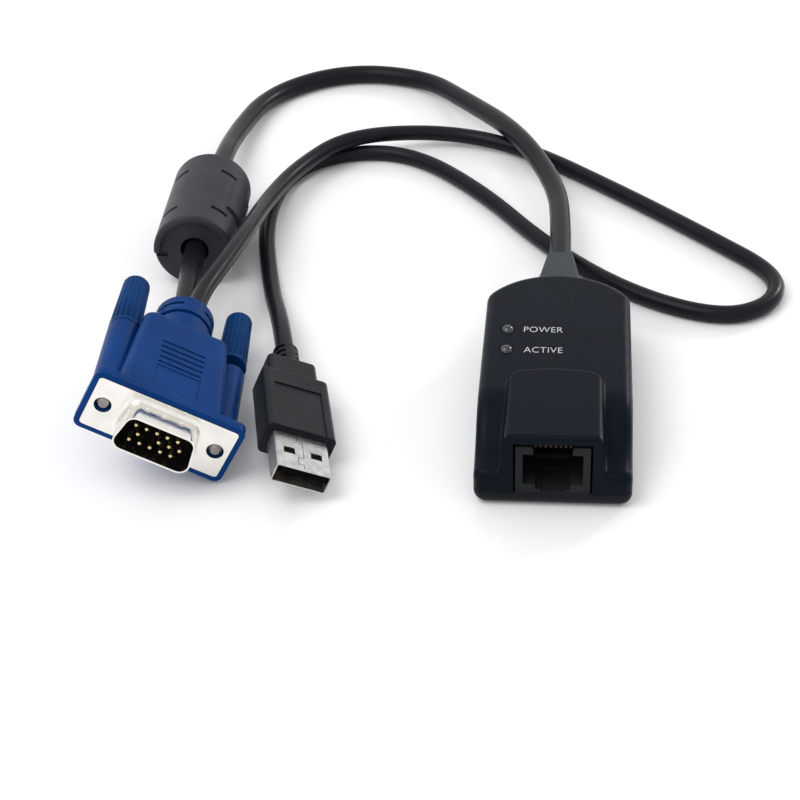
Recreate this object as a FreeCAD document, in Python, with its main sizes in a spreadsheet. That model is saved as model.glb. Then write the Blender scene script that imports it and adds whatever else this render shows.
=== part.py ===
"""KVM dongle: a server interface module with its RJ45 socket, VGA plug, USB plug and ferrite.

Frame: millimetres, +Z up, the table at Z = 0. The housing's long side runs along Y, with its
socket facing -Y, and the origin is the middle of the housing's underside.
"""
import FreeCAD, Part
import math
import os
import re
import Sketcher

Vec = FreeCAD.Vector
X_DIR, Y_DIR, Z_DIR = Vec(1, 0, 0), Vec(0, 1, 0), Vec(0, 0, 1)

# ---------------------------------------------------------------- driving dimensions
SIZES = {
    # housing
    "case_width": 32.3, "case_length": 68.2, "split_height": 3.5, "deck_height": 15.5,
    "hump_stand": 2.0, "shoulder_height": 8.4, "slope_run": 21.0, "case_wall": 1.8,
    "floor_thickness": 1.5, "rear_bow": 9.4, "rear_corner": 5.0, "front_corner": 2.0,
    "floor_edge": 2.8, "deck_edge": 2.2, "seam_edge": 0.2,
    "hump_width": 19.6, "hump_draft": 0.9, "hump_length": 25.6, "hump_bow": 1.6, "hump_corner": 3.2,
    "hump_edge": 1.1, "hump_foot": 0.8, "roof_wall": 1.8,
    # socket
    "jack_width": 15.1, "jack_height": 11.3, "jack_depth": 15.6, "jack_gap": 0.45,
    "jack_recess": 0.3, "port_width": 12.2, "port_height": 7.4, "port_depth": 12.6,
    "port_sill": 2.05, "roof_notch": 7.9, "latch_slot": 7.1, "latch_throat": 4.9,
    "latch_depth": 1.25, "contact_pitch": 1.016, "contact_wire": 0.4, "contact_count": 8,
    "contact_setback": 2.2,
    # board and what stands on it
    "board_side": 0.65, "board_front": 1.9, "board_rear": 11.3, "board_thickness": 1.6,
    "seat_gap": 0.05, "post_radius": 2.4, "post_side": 10.6, "post_rear": 14.0,
    "shoulder_radius": 3.4, "post_hole_gap": 0.3,
    "chip_side": 14.0, "chip_height": 1.4, "video_chip_side": 10.0, "memory_length": 6.0,
    "memory_width": 5.0, "crystal_length": 9.0, "crystal_width": 3.6, "crystal_height": 3.4,
    "capacitor_radius": 2.0, "capacitor_height": 5.4, "header_length": 15.0,
    "header_width": 4.2, "header_height": 5.8, "header_pins": 7, "wire_radius": 0.5,
    # lamps
    "lamp_radius": 1.5, "lamp_flange": 1.9, "lamp_length": 5.3, "lamp_hole": 1.6,
    "lamp_proud": 0.9, "lamp_side": 10.85, "lamp_row": 4.95, "lamp_spacing": 8.1,
    "lead_side": 0.5, "lead_pitch": 1.8,
    # case screws
    "screw_radius": 1.1, "screw_head": 2.1, "screw_head_height": 1.1, "screw_length": 9.0,
    "screw_pilot": 1.15,
    # strain relief of the housing
    "relief_axis": 9.5, "relief_end": 6.1, "relief_root": 10.2, "relief_length": 14.6,
    "relief_neck": 8.0, "relief_flange": 11.0, "relief_flange_height": 8.2,
    "relief_flange_depth": 2.0, "relief_edge": 1.0, "relief_height_ratio": 0.92,
    # VGA plug
    "plate_width": 30.8, "plate_height": 12.5, "plate_thickness": 0.5, "plate_corner": 0.8,
    "screw_spacing": 24.99, "plate_hole": 1.85, "shell_width": 17.7, "shell_height": 9.1,
    "shell_depth": 5.9, "shell_wall": 0.4, "shell_slant": 10.0, "shell_corner": 2.4,
    "shell_root": 0.9, "dimple_radius": 1.2, "dimple_depth": 0.25, "dimple_pitch": 3.7,
    "dimple_shift": -0.5, "dimple_back": 2.1,
    "insert_gap": 0.1, "insert_face": 0.9, "insert_depth": 8.0,
    "pin_radius": 0.38, "pin_stand": 4.1, "pin_tail": 3.0, "pin_pitch": 2.29, "pin_row": 1.98,
    "flange_width": 33.2, "flange_height": 15.0, "flange_depth": 2.7, "flange_corner": 1.8,
    "flange_lip": 0.2, "hood_front_width": 24.0, "hood_rear_width": 19.6,
    "hood_height": 13.6, "hood_rear_height": 12.8, "hood_length": 31.4, "hood_edge": 2.4,
    "tube_radius": 3.5, "tube_length": 27.7, "tube_bore": 1.7,
    "ring_radius": 6.7, "ring_front": 36.0, "ring_back": 41.7, "ring_slot": 0.9,
    "ring_groove": 0.8,
    "neck_radius": 5.6, "neck_root": 8.8, "neck_root_height": 6.3, "core_width": 17.6, "core_height": 8.6,
    "core_length": 22.0, "grip_rows": 5, "grip_groove": 0.55, "grip_pitch": 1.95,
    "grip_width": 9.8, "grip_start": 12.9, "panel_front": 4.8, "panel_depth": 0.25,
    # thumbscrews
    "grip_root_radius": 3.5, "grip_tip_radius": 3.05, "grip_length": 19.2, "grip_ribs": 18,
    "grip_flute": 0.42, "grip_gap": 0.3, "grip_scoop": 0.35, "thread_radius": 1.42, "thread_length": 6.5,
    "shank_radius": 1.1, "left_tip": 0.3, "right_tip": 0.1, "screw_float": 3.2,
    "grip_socket": 14.0, "grip_round": 0.7, "grip_collar": 1.2,
    # USB plug
    "usb_width": 12.0, "usb_height": 4.5, "usb_wall": 0.3, "usb_stand": 11.8,
    "usb_shell_length": 18.4, "usb_hole": 2.5, "usb_hole_back": 5.9, "usb_hole_side": 3.0,
    "tongue_height": 1.9, "tongue_recess": 0.6,
    "strip_width": 1.0, "strip_height": 0.2, "body_width": 15.4, "body_height": 7.8,
    "body_length": 22.4, "body_edge": 1.3, "neck_width": 11.4, "neck_height": 6.6,
    "neck_length": 7.0, "neck_edge": 1.2, "neck_rear_edge": 1.0, "body_rear_edge": 1.0,
    "collar_radius": 2.9, "collar_length": 6.4, "collar_groove": 0.9,
    "badge_width": 10.8, "badge_length": 16.4, "badge_depth": 0.3,
    # ferrite
    "ferrite_radius": 10.0, "ferrite_length": 34.6, "ferrite_front": 18.6, "ferrite_overhang": 1.4,
    "ferrite_wall": 1.5, "ferrite_edge": 0.9, "ferrite_bore": 3.5, "ferrite_end": 1.4,
    "core_inner": 3.6, "vent_width": 1.3, "vent_front": -11.4, "vent_back": 7.75,
    "vent_from": 25.0, "vent_to": 52.0, "latch_length": 13.0, "latch_width": 7.0,
    "latch_stand": 0.7,
    # cables
    "main_diameter": 5.2, "usb_diameter": 4.2, "cable_gap": 0.12, "cable_seat": 1.0,
}

doc = FreeCAD.newDocument("kvm_dongle")
sheet = doc.addObject("Spreadsheet::Sheet", "Sizes")
for row, (alias, value) in enumerate(SIZES.items(), start=1):
    sheet.set("A%d" % row, alias)
    sheet.set("B%d" % row, str(value))
    sheet.setAlias("B%d" % row, alias)
doc.recompute()

WORD = re.compile(r"[a-z][a-z0-9_]*")


def bound(text):
    """The expression with each of the sheet's aliases written as Sizes.alias."""
    return WORD.sub(lambda found: "Sizes." + found.group() if found.group() in SIZES
                    else found.group(), text)


def number(text):
    """The present value of an expression in the sheet's aliases."""
    return float(sheet.evalExpression(text))


# ---------------------------------------------------------------- sketches and features
def origin_plane(body, role):
    return next(plane for plane in body.Origin.OriginFeatures if plane.Role == role)


def new_body(label, placement=FreeCAD.Placement()):
    body = doc.addObject("PartDesign::Body", label)
    body.Label = label
    body.Placement = placement
    return body


def new_sketch(body, role, name, offset="0"):
    """A sketch on one of the body's origin planes, moved along its normal by an expression."""
    sketch = body.newObject("Sketcher::SketchObject", name)
    sketch.AttachmentSupport = [(origin_plane(body, role), "")]
    sketch.MapMode = "FlatFace"
    if offset != "0":
        sketch.setExpression("AttachmentOffset.Base.z", bound(offset))
    return sketch


def pin_point(sketch, geometry, end, across, up):
    """Ties one end of a sketch line to its place, given as two expressions."""
    for kind, axis, text in (("DistanceX", -2, across), ("DistanceY", -1, up)):
        if abs(number(text)) < 1e-9:
            sketch.addConstraint(Sketcher.Constraint("PointOnObject", geometry, end, axis))
            continue
        index = sketch.addConstraint(
            Sketcher.Constraint(kind, -1, 1, geometry, end, number(text)))
        sketch.setExpression("Constraints[%d]" % index, bound(text))


def draw_outline(sketch, corners, bows=None):
    """A closed outline through corners, as expressions. bows maps a side's number to how far
    that side bows out to its right, as an expression."""
    bows = bows or {}
    points = [Vec(number(across), number(up), 0) for across, up in corners]
    count = len(points)
    first = sketch.GeometryCount
    starts = []
    for side in range(count):
        begin, end = points[side], points[(side + 1) % count]
        if side in bows:
            chord = end - begin
            outward = Vec(chord.y, -chord.x, 0)
            outward.normalize()
            crown = (begin + end) * 0.5 + outward * number(bows[side])
            onward = (crown - begin).cross(end - crown).z > 0
            arc = Part.Arc(begin, crown, end) if onward else Part.Arc(end, crown, begin)
            sketch.addGeometry(arc, False)
            starts.append((1, 2) if onward else (2, 1))
        else:
            sketch.addGeometry(Part.LineSegment(begin, end), False)
            starts.append((1, 2))
    for side in range(count):
        following = (side + 1) % count
        sketch.addConstraint(Sketcher.Constraint(
            "Coincident", first + side, starts[side][1], first + following, starts[following][0]))
    for side, (across, up) in enumerate(corners):
        pin_point(sketch, first + side, starts[side][0], across, up)
    for side, bow in bows.items():
        begin, end = corners[side], corners[(side + 1) % count]
        half = "(sqrt((%s - (%s))^2 + (%s - (%s))^2) / 2)" % (end[0], begin[0], end[1], begin[1])
        radius = "(%s^2 + (%s)^2) / (2 * abs(%s))" % (half, bow, bow)
        index = sketch.addConstraint(Sketcher.Constraint("Radius", first + side, number(radius)))
        sketch.setExpression("Constraints[%d]" % index, bound(radius))


def draw_rectangle(sketch, left, right, low, high):
    draw_outline(sketch, [(left, low), (right, low), (right, high), (left, high)])


def draw_circle(sketch, across, up, radius):
    index = sketch.addGeometry(
        Part.Circle(Vec(number(across), number(up), 0), Z_DIR, number(radius)), False)
    pin_point(sketch, index, 3, across, up)
    tie = sketch.addConstraint(Sketcher.Constraint("Radius", index, number(radius)))
    sketch.setExpression("Constraints[%d]" % tie, bound(radius))


def add_pad(body, sketch, length, back=False, both=False):
    pad = body.newObject("PartDesign::Pad", "Pad")
    pad.Profile = sketch
    pad.setExpression("Length", bound(length))
    pad.Reversed = back
    pad.Midplane = both
    return finish_step(body, sketch)


def add_pocket(body, sketch, length, back=False, both=False):
    """A cut that must take something away: the volume is compared before and after."""
    before = body.Shape.Volume
    pocket = body.newObject("PartDesign::Pocket", "Pocket")
    pocket.Profile = sketch
    pocket.setExpression("Length", bound(length))
    pocket.Reversed = back
    pocket.Midplane = both
    finish_step(body, sketch)
    if body.Shape.Volume > before - 1e-6:
        raise RuntimeError("nothing cut in %s by %s" % (body.Label, sketch.Name))


def finish_step(body, sketch=None):
    doc.recompute()
    if sketch is not None:
        sketch.Visibility = False
    return body.Tip


def edge_names(shape, wanted):
    return ["Edge%d" % number_ for number_, edge in enumerate(shape.Edges, start=1)
            if edge.Length > 1e-6 and wanted(edge)]


def add_edges(body, kind, wanted, size):
    """A fillet or chamfer on the edges of the body's tip that wanted() picks."""
    tip = body.Tip
    names = edge_names(tip.Shape, wanted)
    if not names:
        raise RuntimeError("no edge for the %s of %s" % (kind, body.Label))
    dress = body.newObject("PartDesign::" + kind, kind)
    dress.Base = (tip, names)
    dress.setExpression("Radius" if kind == "Fillet" else "Size", bound(size))
    doc.recompute()
    if "Invalid" in dress.State:
        raise RuntimeError("%s failed on %s: %s" % (kind, body.Label, ", ".join(names)))


def box_of(edge):
    return edge.BoundBox


def is_along(edge, direction):
    """True for a straight edge along the direction."""
    if not isinstance(edge.Curve, Part.Line):
        return False
    return abs(abs(edge.Curve.Direction.dot(direction)) - 1) < 1e-6


def near(value, other, slack=0.02):
    return abs(value - other) < slack


def set_feature(label, shape, placement=FreeCAD.Placement()):
    feature = doc.addObject("Part::Feature", label)
    feature.Label = label
    feature.Shape = shape
    feature.Placement = placement
    return feature


def bound_box(label, length, width, height, middle, placement=FreeCAD.Placement()):
    """A Part::Box centred on middle (three expressions) in X and Y, standing on its Z."""
    block = doc.addObject("Part::Box", label)
    block.Label = label
    for name, text in (("Length", length), ("Width", width), ("Height", height)):
        block.setExpression(name, bound(text))
    block.Placement = placement
    block.setExpression("Placement.Base.x", bound("%s - (%s) / 2" % (middle[0], length)))
    block.setExpression("Placement.Base.y", bound("%s - (%s) / 2" % (middle[1], width)))
    block.setExpression("Placement.Base.z", bound(middle[2]))
    return block


# ---------------------------------------------------------------- housing
CASE_FRONT = "(-case_length / 2)"
HUMP_TOP = "(deck_height + hump_stand)"
HUMP_LOW = "(split_height + 0.5)"
BOARD_LOW = "(split_height - board_thickness)"
JACK_REAR = "(-case_length / 2 + jack_recess + jack_depth)"
HEADER_MIDDLE = "(case_length / 2 - board_rear - 2.8)"


def case_corners(inset):
    """The housing's plan, set in by inset: straight sides and front, bowed rear."""
    half = "(case_width / 2 - %s)" % inset
    front = "(-case_length / 2 + %s)" % inset
    side_end = "(case_length / 2 - %s - rear_bow)" % inset
    return [("-" + half, front), (half, front), (half, side_end), ("-" + half, side_end)]


def draw_case(sketch, inset):
    draw_outline(sketch, case_corners(inset), {2: "rear_bow"})


def is_rear_corner(edge, half):
    side = case_side_end()
    return is_along(edge, Z_DIR) and near(abs(box_of(edge).XMax), half) \
        and near(box_of(edge).YMax, side, 2.5) and box_of(edge).YMax > 0


def case_side_end():
    return number("case_length / 2 - rear_bow")


def post_places():
    return [(sign * number("post_side"), number("post_rear")) for sign in (-1, 1)]


def bottom_cover():
    body = new_body("bottom_cover")
    plan = new_sketch(body, "XY_Plane", "BottomPlan")
    draw_case(plan, "0")
    add_pad(body, plan, "split_height")
    half, front = number("case_width / 2"), number(CASE_FRONT)
    add_edges(body, "Fillet", lambda edge: is_rear_corner(edge, half), "rear_corner")
    add_edges(body, "Fillet", lambda edge: is_along(edge, Z_DIR)
              and near(box_of(edge).YMax, front), "front_corner")
    add_edges(body, "Fillet", lambda edge: near(box_of(edge).ZMax, 0), "floor_edge")
    seam = number("split_height")
    add_edges(body, "Chamfer", lambda edge: near(box_of(edge).ZMin, seam), "seam_edge")
    inside = new_sketch(body, "XY_Plane", "BottomInside", "floor_thickness")
    draw_case(inside, "case_wall")
    add_pocket(body, inside, "split_height", back=True)
    for side in ("-post_side", "post_side"):
        shoulder = new_sketch(body, "XY_Plane", "PostShoulder", "floor_thickness")
        draw_circle(shoulder, side, "post_rear", "shoulder_radius")
        add_pad(body, shoulder, "split_height - board_thickness - floor_thickness")
        post = new_sketch(body, "XY_Plane", "Post", "floor_thickness")
        draw_circle(post, side, "post_rear", "post_radius")
        add_pad(body, post, "split_height - floor_thickness")
        rest = new_sketch(body, "XY_Plane", "BoardRest", "floor_thickness")
        draw_circle(rest, side, "-case_length / 2 + case_wall + shoulder_radius", "post_radius")
        add_pad(body, rest, "split_height - board_thickness - floor_thickness")
        shaft = new_sketch(body, "XY_Plane", "ScrewHole")
        draw_circle(shaft, side, "post_rear", "screw_radius + 2 * seat_gap")
        add_pocket(body, shaft, "split_height", back=True)
        seat = new_sketch(body, "XY_Plane", "ScrewSeat")
        draw_circle(seat, side, "post_rear", "screw_head + 2 * seat_gap")
        add_pocket(body, seat, "screw_head_height + seat_gap", back=True)


def top_cover():
    body = new_body("top_cover")
    plan = new_sketch(body, "XY_Plane", "TopPlan", "split_height")
    draw_case(plan, "0")
    add_pad(body, plan, "deck_height - split_height")
    half, front = number("case_width / 2"), number(CASE_FRONT)
    add_edges(body, "Fillet", lambda edge: is_rear_corner(edge, half), "rear_corner")
    add_edges(body, "Fillet", lambda edge: is_along(edge, Z_DIR)
              and near(box_of(edge).YMax, front), "front_corner")
    cut_front_slope(body)
    add_edges(body, "Fillet", is_deck_rim, "deck_edge")
    add_hump(body)
    hollow_top(body)
    return body


def cut_front_slope(body):
    """The deck falls to the front shoulders in an S of two arcs, level at both its ends."""
    slope = new_sketch(body, "YZ_Plane", "FrontSlope")
    top, past = "(-case_length / 2 + slope_run)", "(-case_length / 2 - 2)"
    run, drop = "(slope_run / 2)", "((deck_height - shoulder_height) / 2)"
    chord = "sqrt(%s^2 + %s^2)" % (run, drop)
    bow = "(%s / 2 * (%s - %s) / %s)" % (chord, chord, run, drop)
    draw_outline(slope, [
        (top, "deck_height"), (top, "(deck_height + 2)"), (past, "(deck_height + 2)"),
        (past, "shoulder_height"), (CASE_FRONT, "shoulder_height"),
        ("(-case_length / 2 + slope_run / 2)", "((deck_height + shoulder_height) / 2)")],
        {4: bow, 5: "(-1 * %s)" % bow})
    add_pocket(body, slope, "case_width + 4", both=True)


def is_deck_rim(edge):
    """The rim of the deck: the sides, the rear, down the slopes and along the front."""
    box = box_of(edge)
    if box.ZMin < number("shoulder_height") - 0.5:
        return False
    inside = box.YMin > number(CASE_FRONT) + 0.5 and is_along(edge, X_DIR)
    return not inside


def hump_plan(body, name, height, half, rear):
    """One of the hump's two outlines: flat front and sides, bowed rear."""
    plan = new_sketch(body, "XY_Plane", name, height)
    draw_outline(plan, [("-" + half, CASE_FRONT), (half, CASE_FRONT), (half, rear),
                        ("-" + half, rear)], {2: "hump_bow"})
    return plan


def add_hump(body):
    """The raised cover over the socket, with a bowed rear, drafted sides and a rounded rim."""
    rear = "(-case_length / 2 + hump_length - hump_bow)"
    low = hump_plan(body, "HumpFoot", HUMP_LOW, "(hump_width / 2 + hump_draft)",
                    "(%s + hump_draft)" % rear)
    high = hump_plan(body, "HumpTop", HUMP_TOP, "(hump_width / 2)", rear)
    loft = body.newObject("PartDesign::AdditiveLoft", "Hump")
    loft.Profile = low
    loft.Sections = [high]
    loft.Ruled = True
    finish_step(body, low)
    high.Visibility = False
    top, deck, front = number(HUMP_TOP), number("deck_height"), number(CASE_FRONT)
    add_edges(body, "Fillet", lambda edge: box_of(edge).ZMax > top - 0.05
              and box_of(edge).ZMin < deck + 0.5 and box_of(edge).YMin > front + 5, "hump_corner")
    add_edges(body, "Fillet", lambda edge: near(box_of(edge).ZMin, top, 0.05), "hump_edge")
    add_edges(body, "Fillet", is_hump_foot, "hump_foot")


def is_hump_foot(edge):
    """The edges where the hump's walls meet the deck, the slope and the front shoulders."""
    box, half = box_of(edge), number("hump_width / 2")
    widest = half + number("hump_draft")
    if box.ZMin < number("shoulder_height") - 0.3 or box.ZMax > number("deck_height") + 0.1:
        return False
    if box.YMax < number(CASE_FRONT) + 0.5:
        return False
    sides = (abs(box.XMin), abs(box.XMax))
    if min(sides) > half - 0.05 and max(sides) < widest + 0.05:
        return True
    return max(sides) < widest and near(box.ZMin, number("deck_height")) \
        and box.YMax > number("-case_length / 2 + hump_length / 2")


def hollow_top(body):
    """The room inside: shallow under the slope, deep at the rear, and the socket's bay."""
    front_room = new_sketch(body, "XY_Plane", "FrontRoom", "split_height")
    draw_rectangle(front_room, "(-case_width / 2 + case_wall)", "(case_width / 2 - case_wall)",
                   "(-case_length / 2 + case_wall)", "(-case_length / 2 + slope_run)")
    add_pocket(body, front_room, "shoulder_height - case_wall - split_height", back=True)
    rear_room = new_sketch(body, "XY_Plane", "RearRoom", "split_height")
    half, rear_start = "(case_width / 2 - case_wall)", "(-case_length / 2 + slope_run - 3)"
    side_end = "(case_length / 2 - case_wall - rear_bow)"
    draw_outline(rear_room, [("-" + half, rear_start), (half, rear_start), (half, side_end),
                             ("-" + half, side_end)], {2: "rear_bow"})
    add_pocket(body, rear_room, "deck_height - case_wall - split_height", back=True)
    bay = new_sketch(body, "XY_Plane", "SocketBay", "split_height")
    bay_half = "(jack_width / 2 + jack_gap)"
    draw_rectangle(bay, "-" + bay_half, bay_half, "(-case_length / 2 - 1)",
                   "(-case_length / 2 + slope_run)")
    add_pocket(body, bay, "(deck_height + hump_stand) - roof_wall - split_height", back=True)
    for side in ("-post_side", "post_side"):
        boss = new_sketch(body, "XY_Plane", "Boss", "split_height")
        draw_circle(boss, side, "post_rear", "post_radius")
        add_pad(body, boss, "deck_height - case_wall - split_height + 0.2")
        pilot = new_sketch(body, "XY_Plane", "Pilot", "split_height")
        draw_circle(pilot, side, "post_rear", "screw_pilot")
        add_pocket(body, pilot, "screw_length - split_height + 1", back=True)
    for row in ("(lamp_row + lamp_spacing / 2)", "(lamp_row - lamp_spacing / 2)"):
        lamp = new_sketch(body, "XY_Plane", "LampHole", "deck_height - case_wall - 1")
        draw_circle(lamp, "-lamp_side", row, "lamp_hole")
        add_pocket(body, lamp, "case_wall + 2", back=True)
    exit_hole = new_sketch(body, "XZ_Plane", "CableExit", "-case_length / 2 + rear_bow")
    draw_rectangle(exit_hole, "(-relief_neck / 2 - seat_gap)", "(relief_neck / 2 + seat_gap)",
                   "(relief_axis - relief_neck / 2 - seat_gap)",
                   "(relief_axis + relief_neck / 2 + seat_gap)")
    add_pocket(body, exit_hole, "rear_bow + 2")


# ---------------------------------------------------------------- inside the housing
def circuit_board():
    body = new_body("circuit_board")
    plan = new_sketch(body, "XY_Plane", "BoardPlan", BOARD_LOW)
    side = "(case_width / 2 - case_wall - board_side)"
    draw_rectangle(plan, "-" + side, side, "(-case_length / 2 + board_front)",
                   "(case_length / 2 - board_rear)")
    add_pad(body, plan, "board_thickness")
    for side in ("-post_side", "post_side"):
        hole = new_sketch(body, "XY_Plane", "PostHole", BOARD_LOW)
        draw_circle(hole, side, "post_rear", "post_radius + post_hole_gap")
        add_pocket(body, hole, "board_thickness", back=True)


def board_parts():
    """Chips, crystal, capacitors and the cable header, all standing on the board."""
    bound_box("controller_chip", "chip_side", "chip_side", "chip_height",
              ("0", "%s + 21.5" % JACK_REAR, "split_height"))
    bound_box("video_chip", "video_chip_side", "video_chip_side", "chip_height",
              ("-5", "%s + 8.0" % JACK_REAR, "split_height"))
    bound_box("memory_chip", "memory_length", "memory_width", "chip_height",
              ("7", "%s + 8.5" % JACK_REAR, "split_height"))
    bound_box("crystal", "crystal_length", "crystal_width", "crystal_height",
              ("0", "%s + 32.0" % JACK_REAR, "split_height"))
    radius, height, floor = (number("capacitor_radius"), number("capacitor_height"),
                             number("split_height"))
    cans = [Part.makeCylinder(radius, height, Vec(across, along, floor))
            for across, along in ((10.8, -2.0), (10.8, 4.0))]
    set_feature("capacitors", Part.makeCompound(cans))
    bound_box("cable_header", "header_length", "header_width", "header_height",
              ("0", HEADER_MIDDLE, "split_height"))


def header_wires():
    """Cable cores from the strain relief's inner face down into the header's top."""
    start = number("case_length / 2 - case_wall - relief_flange_depth - seat_gap")
    top = number("split_height + header_height")
    axis, radius = number("relief_axis"), number("wire_radius")
    middle = number(HEADER_MIDDLE)
    count = int(number("header_pins"))
    wires = []
    for index in range(count):
        offset = (index - (count - 1) / 2) * 1.15
        path = tangent_path([Vec(offset, start, axis + 2.2), Vec(offset, middle, axis + 2.2),
                             Vec(offset, middle, top)])
        wires.append(sweep_round(path, radius))
    set_feature("header_wires", Part.makeCompound(wires))


def tangent_path(points, reach=0.45):
    """Straight runs joined by tangent arcs, each as large as its two runs allow."""
    edges, cursor = [], points[0]
    for before, corner, after in zip(points, points[1:], points[2:]):
        inward, outward = before - corner, after - corner
        shorter = min(inward.Length, outward.Length)
        inward.normalize()
        outward.normalize()
        turn = math.pi - math.acos(max(-1.0, min(1.0, inward.dot(outward))))
        radius = reach * shorter / math.tan(turn / 2)
        begin, end = corner + inward * reach * shorter, corner + outward * reach * shorter
        inner = inward + outward
        inner.normalize()
        middle = corner + inner * (radius / math.cos(turn / 2) - radius)
        edges.append(Part.LineSegment(cursor, begin).toShape())
        edges.append(Part.Arc(begin, middle, end).toShape())
        cursor = end
        RADII.append(radius)
    edges.append(Part.LineSegment(cursor, points[-1]).toShape())
    return Part.Wire(edges)


RADII = []


def sweep_round(path, radius):
    """A round tube along a path, checked against its section times its length."""
    first = path.Edges[0]
    start, ahead = first.valueAt(first.FirstParameter), first.tangentAt(first.FirstParameter)
    ring = Part.Wire([Part.makeCircle(radius, start, ahead)])
    tube = path.makePipeShell([ring], True, False)
    expected = math.pi * radius ** 2 * path.Length
    if abs(tube.Volume - expected) > 0.01 * expected:
        raise RuntimeError("tube volume %.1f, expected %.1f" % (tube.Volume, expected))
    return tube


# ---------------------------------------------------------------- socket
def jack_body():
    body = new_body("jack_body")
    face = new_sketch(body, "XZ_Plane", "JackFace", "case_length / 2 - jack_recess")
    half, low = "(jack_width / 2)", "split_height"
    draw_rectangle(face, "-" + half, half, low, "(split_height + jack_height)")
    add_pad(body, face, "jack_depth", back=True)
    sill = "(split_height + port_sill)"
    top = "(split_height + port_sill + port_height)"
    port = new_sketch(body, "XZ_Plane", "Port", "case_length / 2 - jack_recess")
    draw_rectangle(port, "(-port_width / 2)", "(port_width / 2)", sill, top)
    add_pocket(body, port, "port_depth")
    latch = new_sketch(body, "XZ_Plane", "LatchSlot", "case_length / 2 - jack_recess")
    draw_rectangle(latch, "(-latch_slot / 2)", "(latch_slot / 2)",
                   "(split_height + port_sill - latch_depth)", "(split_height + port_sill + 1)")
    add_pocket(body, latch, "port_depth - 2")
    throat = new_sketch(body, "XZ_Plane", "LatchThroat", "case_length / 2 - jack_recess")
    draw_rectangle(throat, "(-latch_throat / 2)", "(latch_throat / 2)",
                   "(split_height + port_sill - latch_depth - 0.5)",
                   "(split_height + port_sill)")
    add_pocket(body, throat, "port_depth - 5")
    roof = new_sketch(body, "XZ_Plane", "RoofNotch", "case_length / 2 - jack_recess")
    draw_rectangle(roof, "(-roof_notch / 2)", "(roof_notch / 2)", "(%s - 1)" % top,
                   "(split_height + jack_height + 1)")
    add_pocket(body, roof, "port_depth - 8")
    channel = new_sketch(body, "XZ_Plane", "ContactChannel", "case_length / 2 - jack_recess")
    draw_rectangle(channel, "(-contact_pitch * 4.1)", "(contact_pitch * 4.1)",
                   "(split_height + jack_height - contact_wire - seat_gap)",
                   "(split_height + jack_height + 1)")
    add_pocket(body, channel, "jack_depth + 1")


def jack_contacts():
    """Eight spring wires: a slanted spring in the port, over the roof and down to the board."""
    wire, pitch = number("contact_wire"), number("contact_pitch")
    face = number("-case_length / 2 + jack_recess")
    rear = face + number("jack_depth + seat_gap")
    top = number("split_height + jack_height") - wire / 2
    count = int(number("contact_count"))
    tip = Vec(0, face + 9.5, number("split_height + port_sill + port_height * 0.62"))
    board = number("split_height")
    bend = face + number("contact_setback")
    middle = [tip, Vec(0, bend, top - 1.0), Vec(0, bend + 0.4, top),
              Vec(0, rear + wire / 2, top), Vec(0, rear + wire / 2, board)]
    profile = ribbon_face(middle, wire)
    strips = []
    for index in range(count):
        strip = profile.extrude(X_DIR * wire)
        strip.translate(X_DIR * ((index - (count - 1) / 2) * pitch - wire / 2))
        strips.append(strip)
    set_feature("jack_contacts", Part.makeCompound(strips))


def ribbon_face(points, width):
    """A face of constant width about a line of points in the YZ plane, mitred at its bends."""
    sides = ([], [])
    for index, point in enumerate(points):
        before = point - points[index - 1] if index else points[1] - points[0]
        after = points[index + 1] - point if index < len(points) - 1 else before
        before.normalize()
        after.normalize()
        across = Vec(0, -(before.z + after.z), before.y + after.y)
        across.normalize()
        reach = width / 2 / across.dot(Vec(0, -before.z, before.y))
        for side, sign in zip(sides, (1, -1)):
            side.append(point + across * reach * sign)
    corners = sides[0] + sides[1][::-1]
    return Part.Face(Part.makePolygon(corners + corners[:1]))


# ---------------------------------------------------------------- lamps and screws
def lamp(label, row):
    """A clear domed lamp with a flange, standing on its two leads, its dome in the deck."""
    body = new_body(label)
    barrel = new_sketch(body, "XY_Plane", "Barrel", "deck_height + lamp_proud - lamp_length")
    draw_circle(barrel, "-lamp_side", row, "lamp_radius")
    add_pad(body, barrel, "lamp_length")
    top = number("deck_height + lamp_proud")
    add_edges(body, "Fillet", lambda edge: near(box_of(edge).ZMin, top), "lamp_radius - 0.05")
    flange = new_sketch(body, "XY_Plane", "Flange", "deck_height + lamp_proud - lamp_length")
    draw_circle(flange, "-lamp_side", row, "lamp_flange")
    add_pad(body, flange, "1")


def lamp_leads():
    side, pitch = number("lead_side"), number("lead_pitch")
    low, high = number("split_height"), number("deck_height + lamp_proud - lamp_length")
    leads = []
    for row in (number("lamp_row + lamp_spacing / 2"), number("lamp_row - lamp_spacing / 2")):
        for sign in (-1, 1):
            corner = Vec(-number("lamp_side") + sign * pitch / 2 - side / 2, row - side / 2, low)
            leads.append(Part.makeBox(side, side, high - low, corner))
    set_feature("lamp_leads", Part.makeCompound(leads))


def case_screws():
    head, height = number("screw_head"), number("screw_head_height")
    radius, length = number("screw_radius"), number("screw_length")
    slot = number("screw_radius / 2")
    screws = []
    for across, along in post_places():
        base = Vec(across, along, 0)
        screw = Part.makeCone(head, radius, height, base).fuse(
            Part.makeCylinder(radius, length, base))
        for box_length, box_width in ((2.4, slot), (slot, 2.4)):
            screw = screw.cut(Part.makeBox(
                box_length, box_width, height * 0.7,
                base - Vec(box_length / 2, box_width / 2, 0)))
        screws.append(screw.removeSplitter())
    set_feature("case_screws", Part.makeCompound(screws))


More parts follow.
